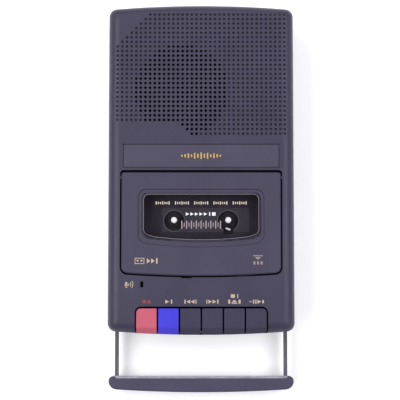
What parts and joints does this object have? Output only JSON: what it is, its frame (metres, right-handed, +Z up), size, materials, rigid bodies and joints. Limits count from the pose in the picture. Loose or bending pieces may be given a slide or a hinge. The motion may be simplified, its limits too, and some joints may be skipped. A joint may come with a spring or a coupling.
{
  "type": "portable cassette recorder",
  "caption": "Flat portable cassette recorder with a perforated speaker grille, windowed cassette door, piano keys and a slide-out carrying handle.",
  "frame": {"origin": "centre of the bounding box in plan, with the handle drawn out, at the bottom of the rubber feet", "axes": "+Z up from the feet towards the keys and cassette door, +Y from the key and handle end towards the speaker end, +X to the right when the keys are nearest the user"},
  "size_m": [0.1474, 0.3066, 0.0548],
  "materials": {
    "case_plastic": "fine spark-textured charcoal moulding",
    "door_plastic": "satin charcoal moulding",
    "panel_plastic": "satin charcoal inlay",
    "smoked_window": "smoked clear acrylic",
    "red_key_plastic": "satin red",
    "blue_key_plastic": "satin blue",
    "grey_key_plastic": "satin charcoal",
    "grip_plastic": "satin charcoal moulding",
    "white_plastic": "white acetal",
    "black_plastic": "black moulding",
    "strap_steel": "grey lacquered steel",
    "plated_steel": "zinc plated",
    "head_metal": "polished head casing",
    "spring_steel": "spring wire",
    "brass": "sintered bronze bush",
    "magnet_ferrite": "ferrite",
    "belt_rubber": "moulded rubber",
    "foot_rubber": "moulded rubber",
    "board_laminate": "phenolic laminate",
    "paper_cone": "pressed paper"
  },
  "bodies": {
    "case": {"front_case": "case_plastic", "rear_case": "case_plastic", "name_panel": "panel_plastic", "rubber_feet": "foot_rubber", "case_screws": "plated_steel", "small_screws": "plated_steel", "key_shaft": "plated_steel", "key_springs": "spring_steel", "door_hinge_pins": "plated_steel", "door_spring": "spring_steel", "chassis_plate": "plated_steel", "well_floor": "black_plastic", "capstan_bearing": "brass", "flywheel_bracket": "plated_steel", "drive_motor": "plated_steel", "motor_bracket": "plated_steel", "drive_belt": "belt_rubber", "record_switch": "black_plastic", "main_board": "board_laminate", "board_components": "black_plastic", "power_transformer": "plated_steel", "ac_inlet": "black_plastic", "audio_jacks": "black_plastic", "microphone_capsule": "plated_steel", "battery_contacts": "plated_steel", "speaker_frame": "plated_steel", "speaker_magnet": "magnet_ferrite", "speaker_cone": "paper_cone"},
    "door": {"cassette_door": "door_plastic", "door_lens": "smoked_window", "cassette_holder": "plated_steel"},
    "handle": {"handle_grip": "grip_plastic", "handle_frame": "strap_steel"},
    "supply_reel": {"supply_reel": "white_plastic"},
    "takeup_reel": {"takeup_reel": "white_plastic"},
    "flywheel": {"capstan_flywheel": "plated_steel", "capstan_shaft": "plated_steel"},
    "pulley": {"motor_pulley": "brass"},
    "pinch_arm": {"pinch_roller_arm": "plated_steel"},
    "pinch_roller": {"pinch_roller": "belt_rubber"},
    "head_carriage": {"head_plate": "plated_steel", "record_play_head": "head_metal", "erase_head": "white_plastic"},
    "stop_lever": {"auto_stop_lever": "white_plastic"},
    "eject_slider": {"eject_latch": "black_plastic"},
    "record_slider": {"record_switch_slider": "white_plastic"},
    "volume_wheel": {"volume_wheel": "black_plastic"},
    "battery_cover": {"battery_door": "case_plastic"},
    "record_key": {"record_key_cap": "red_key_plastic", "record_key_lever": "plated_steel"},
    "play_key": {"play_key_cap": "blue_key_plastic", "play_key_lever": "plated_steel"},
    "rewind_key": {"rewind_key_cap": "grey_key_plastic", "rewind_key_lever": "plated_steel"},
    "fast_forward_key": {"fast_forward_key_cap": "grey_key_plastic", "fast_forward_key_lever": "plated_steel"},
    "stop_eject_key": {"stop_eject_key_cap": "grey_key_plastic", "stop_eject_key_lever": "plated_steel"},
    "pause_key": {"pause_key_cap": "grey_key_plastic", "pause_key_lever": "plated_steel"}
  },
  "joints": [
    {"name": "door_hinge", "type": "hinge", "parent": "case", "child": "door", "pos_m": [0, 0.0152, 0.05], "axis": [-1, 0, 0], "range_deg": [0, 45]},
    {"name": "handle_slide", "type": "slide", "parent": "case", "child": "handle", "axis": [0, 1, 0], "range_m": [0, 0.0457]},
    {"name": "record_key_hinge", "type": "hinge", "parent": "case", "child": "record_key", "pos_m": [0, -0.0711, 0.0375], "axis": [1, 0, 0], "range_deg": [0, 8], "stiffness_Nm_per_rad": 0.1, "springref_deg": -8.59, "deforming": ["key_springs"]},
    {"name": "play_key_hinge", "type": "hinge", "parent": "case", "child": "play_key", "pos_m": [0, -0.0711, 0.0375], "axis": [1, 0, 0], "range_deg": [0, 8], "stiffness_Nm_per_rad": 0.1, "springref_deg": -8.59, "deforming": ["key_springs"]},
    {"name": "rewind_key_hinge", "type": "hinge", "parent": "case", "child": "rewind_key", "pos_m": [0, -0.0711, 0.0375], "axis": [1, 0, 0], "range_deg": [0, 8], "stiffness_Nm_per_rad": 0.1, "springref_deg": -8.59, "deforming": ["key_springs"]},
    {"name": "fast_forward_key_hinge", "type": "hinge", "parent": "case", "child": "fast_forward_key", "pos_m": [0, -0.0711, 0.0375], "axis": [1, 0, 0], "range_deg": [0, 8], "stiffness_Nm_per_rad": 0.1, "springref_deg": -8.59, "deforming": ["key_springs"]},
    {"name": "stop_eject_key_hinge", "type": "hinge", "parent": "case", "child": "stop_eject_key", "pos_m": [0, -0.0711, 0.0375], "axis": [1, 0, 0], "range_deg": [0, 8], "stiffness_Nm_per_rad": 0.1, "springref_deg": -8.59, "deforming": ["key_springs"]},
    {"name": "pause_key_hinge", "type": "hinge", "parent": "case", "child": "pause_key", "pos_m": [0, -0.0711, 0.0375], "axis": [1, 0, 0], "range_deg": [0, 8], "stiffness_Nm_per_rad": 0.1, "springref_deg": -8.59, "deforming": ["key_springs"]},
    {"name": "supply_reel_spin", "type": "hinge", "parent": "case", "child": "supply_reel", "pos_m": [-0.02125, -0.0178, 0.034], "axis": [0, 0, 1], "continuous": true},
    {"name": "takeup_reel_spin", "type": "hinge", "parent": "case", "child": "takeup_reel", "pos_m": [0.02125, -0.0178, 0.034], "axis": [0, 0, 1], "continuous": true},
    {"name": "capstan_spin", "type": "hinge", "parent": "case", "child": "flywheel", "pos_m": [0.032, -0.0472, 0.026], "axis": [0, 0, 1], "continuous": true},
    {"name": "pulley_spin", "type": "hinge", "parent": "case", "child": "pulley", "pos_m": [-0.036, 0.0009, 0.028], "axis": [0, 0, 1], "continuous": true},
    {"name": "pinch_arm_hinge", "type": "hinge", "parent": "case", "child": "pinch_arm", "pos_m": [0.046, -0.0563, 0.036], "axis": [0, 0, -1], "range_deg": [0, 17.5]},
    {"name": "pinch_roller_spin", "type": "hinge", "parent": "pinch_arm", "child": "pinch_roller", "pos_m": [0.032, -0.0586, 0.044], "axis": [0, 0, 1], "continuous": true},
    {"name": "head_slide", "type": "slide", "parent": "case", "child": "head_carriage", "axis": [0, 1, 0], "range_m": [0, 0.0055]},
    {"name": "auto_stop_hinge", "type": "hinge", "parent": "case", "child": "stop_lever", "pos_m": [0.035, -0.0311, 0.035], "axis": [0, 0, 1], "range_deg": [0, 6]},
    {"name": "eject_slide", "type": "slide", "parent": "case", "child": "eject_slider", "axis": [1, 0, 0], "range_m": [0, 0.003]},
    {"name": "record_switch_slide", "type": "slide", "parent": "case", "child": "record_slider", "axis": [0, 1, 0], "range_m": [0, 0.003]},
    {"name": "volume_spin", "type": "hinge", "parent": "case", "child": "volume_wheel", "pos_m": [0.0637, 0.0179, 0.02], "axis": [0, 0, 1], "range_deg": [0, 280]},
    {"name": "battery_door_slide", "type": "slide", "parent": "case", "child": "battery_cover", "axis": [0, 0, -1], "range_m": [0, 0.03]}
  ],
  "couplings": [
    {"joint": "pulley_spin", "follows": "capstan_spin", "ratio": 5.0909},
    {"joint": "pinch_arm_hinge", "follows": "play_key_hinge", "ratio": 2.18},
    {"joint": "head_slide", "follows": "play_key_hinge", "m_per_rad": 0.0393},
    {"joint": "eject_slide", "follows": "stop_eject_key_hinge", "m_per_rad": 0.0214},
    {"joint": "record_switch_slide", "follows": "record_key_hinge", "m_per_rad": 0.0214}
  ]
}
